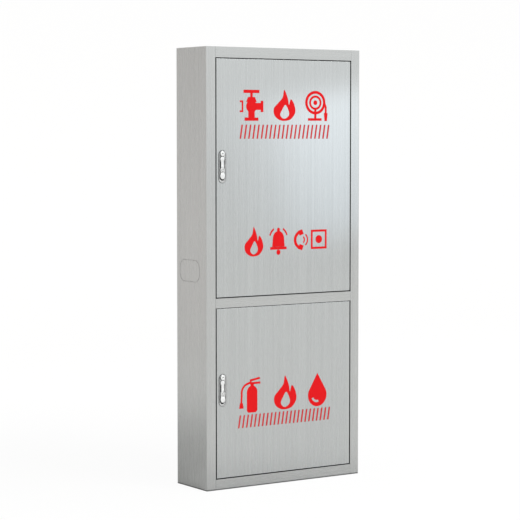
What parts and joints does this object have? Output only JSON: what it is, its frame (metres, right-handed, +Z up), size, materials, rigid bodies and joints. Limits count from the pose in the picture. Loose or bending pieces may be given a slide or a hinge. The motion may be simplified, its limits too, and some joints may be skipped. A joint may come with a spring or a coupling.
{
  "type": "standpipe cabinet",
  "caption": "Tall two-bay stainless wall cabinet with hinged flush doors on lever locks, a landing valve, a hose rack and a branch nozzle.",
  "frame": {"origin": "underside of the cabinet, at the middle of its width and depth", "axes": "+Z up, +X to the right seen from the front, -Y out of the doors"},
  "size_m": [0.7, 0.2145, 1.65],
  "materials": {
    "case_steel": "folded stainless sheet, fine grain, satin",
    "door_steel": "stainless door sheet with a vertical brushed grain",
    "lock_chrome": "polished chrome plate",
    "zinc_steel": "bright zinc plate",
    "pin_steel": "drawn stainless bar",
    "nylon": "black nylon",
    "seal_rubber": "black rubber",
    "pipe_red": "red painted steel pipe",
    "valve_red": "red enamel on cast iron",
    "wheel_red": "red enamel on cast iron",
    "rack_red": "red powder coat",
    "brass": "machined brass",
    "cast_aluminium": "tumbled aluminium casting"
  },
  "bodies": {
    "cabinet": {"left_side_panel": "case_steel", "left_knockout": "case_steel", "right_side_panel": "case_steel", "right_knockout": "case_steel", "top_panel": "case_steel", "bottom_panel": "case_steel", "mid_rail": "case_steel", "divider_shelf": "case_steel", "back_panel": "case_steel", "upper_hinge_pins": "pin_steel", "lower_hinge_pins": "pin_steel", "hinge_plates": "zinc_steel", "upper_door_seal": "seal_rubber", "lower_door_seal": "seal_rubber", "riser_elbow": "pipe_red", "pipe_grommet": "seal_rubber", "valve_body": "valve_red", "valve_bonnet": "valve_red", "gland_nut": "brass", "outlet_coupling": "cast_aluminium", "outlet_gasket": "seal_rubber", "hose_rack": "rack_red", "nozzle_clips": "pin_steel"},
    "upper_door": {"upper_door_panel": "door_steel", "upper_door_stiffener": "case_steel", "upper_hinge_bushes": "nylon", "upper_lock_housing": "lock_chrome", "upper_lever_pin": "pin_steel", "upper_latch_case": "zinc_steel", "upper_lock_screws": "pin_steel", "upper_latch_spring": "pin_steel"},
    "upper_lever": {"upper_lock_lever": "lock_chrome"},
    "upper_latch": {"upper_latch_tongue": "zinc_steel"},
    "lower_door": {"lower_door_panel": "door_steel", "lower_door_stiffener": "case_steel", "lower_hinge_bushes": "nylon", "lower_lock_housing": "lock_chrome", "lower_lever_pin": "pin_steel", "lower_latch_case": "zinc_steel", "lower_lock_screws": "pin_steel", "lower_latch_spring": "pin_steel"},
    "lower_lever": {"lower_lock_lever": "lock_chrome"},
    "lower_latch": {"lower_latch_tongue": "zinc_steel"},
    "valve_disc": {"valve_disc": "brass", "seat_washer": "seal_rubber"},
    "handwheel": {"valve_stem": "brass", "handwheel": "wheel_red", "handwheel_nut": "brass"},
    "nozzle": {"nozzle_barrel": "cast_aluminium", "nozzle_coupling": "cast_aluminium"}
  },
  "joints": [
    {"name": "upper_door_hinge", "type": "hinge", "parent": "cabinet", "child": "upper_door", "pos_m": [0.289, -0.1, 1.164], "axis": [0, 0, 1], "range_deg": [0, 150]},
    {"name": "upper_lever_pull", "type": "hinge", "parent": "upper_door", "child": "upper_lever", "pos_m": [-0.2805, -0.101, 1.233], "axis": [-1, 0, 0], "range_deg": [0, 30], "stiffness_Nm_per_rad": 0.25, "springref_deg": -34.38},
    {"name": "upper_latch_slide", "type": "slide", "parent": "upper_door", "child": "upper_latch", "axis": [1, 0, 0], "range_m": [0, 0.008], "deforming": ["upper_latch_spring"]},
    {"name": "lower_door_hinge", "type": "hinge", "parent": "cabinet", "child": "lower_door", "pos_m": [0.289, -0.1, 0.361], "axis": [0, 0, 1], "range_deg": [0, 150]},
    {"name": "lower_lever_pull", "type": "hinge", "parent": "lower_door", "child": "lower_lever", "pos_m": [-0.2805, -0.101, 0.3995], "axis": [-1, 0, 0], "range_deg": [0, 30], "stiffness_Nm_per_rad": 0.25, "springref_deg": -34.38},
    {"name": "lower_latch_slide", "type": "slide", "parent": "lower_door", "child": "lower_latch", "axis": [1, 0, 0], "range_m": [0, 0.008], "deforming": ["lower_latch_spring"]},
    {"name": "valve_lift", "type": "slide", "parent": "cabinet", "child": "valve_disc", "axis": [0, 0, 1], "range_m": [0, 0.03]},
    {"name": "handwheel_turn", "type": "hinge", "parent": "valve_disc", "child": "handwheel", "pos_m": [-0.2, 0.03, 1], "axis": [0, 0, 1], "range_deg": [0, 2160]},
    {"name": "nozzle_pull", "type": "slide", "parent": "cabinet", "child": "nozzle", "axis": [0, -1, 0], "range_m": [0, 0.06]}
  ],
  "couplings": [
    {"joint": "upper_latch_slide", "follows": "upper_lever_pull", "m_per_rad": 0.01527},
    {"joint": "lower_latch_slide", "follows": "lower_lever_pull", "m_per_rad": 0.01527},
    {"joint": "valve_lift", "follows": "handwheel_turn", "m_per_rad": 0.000795}
  ]
}
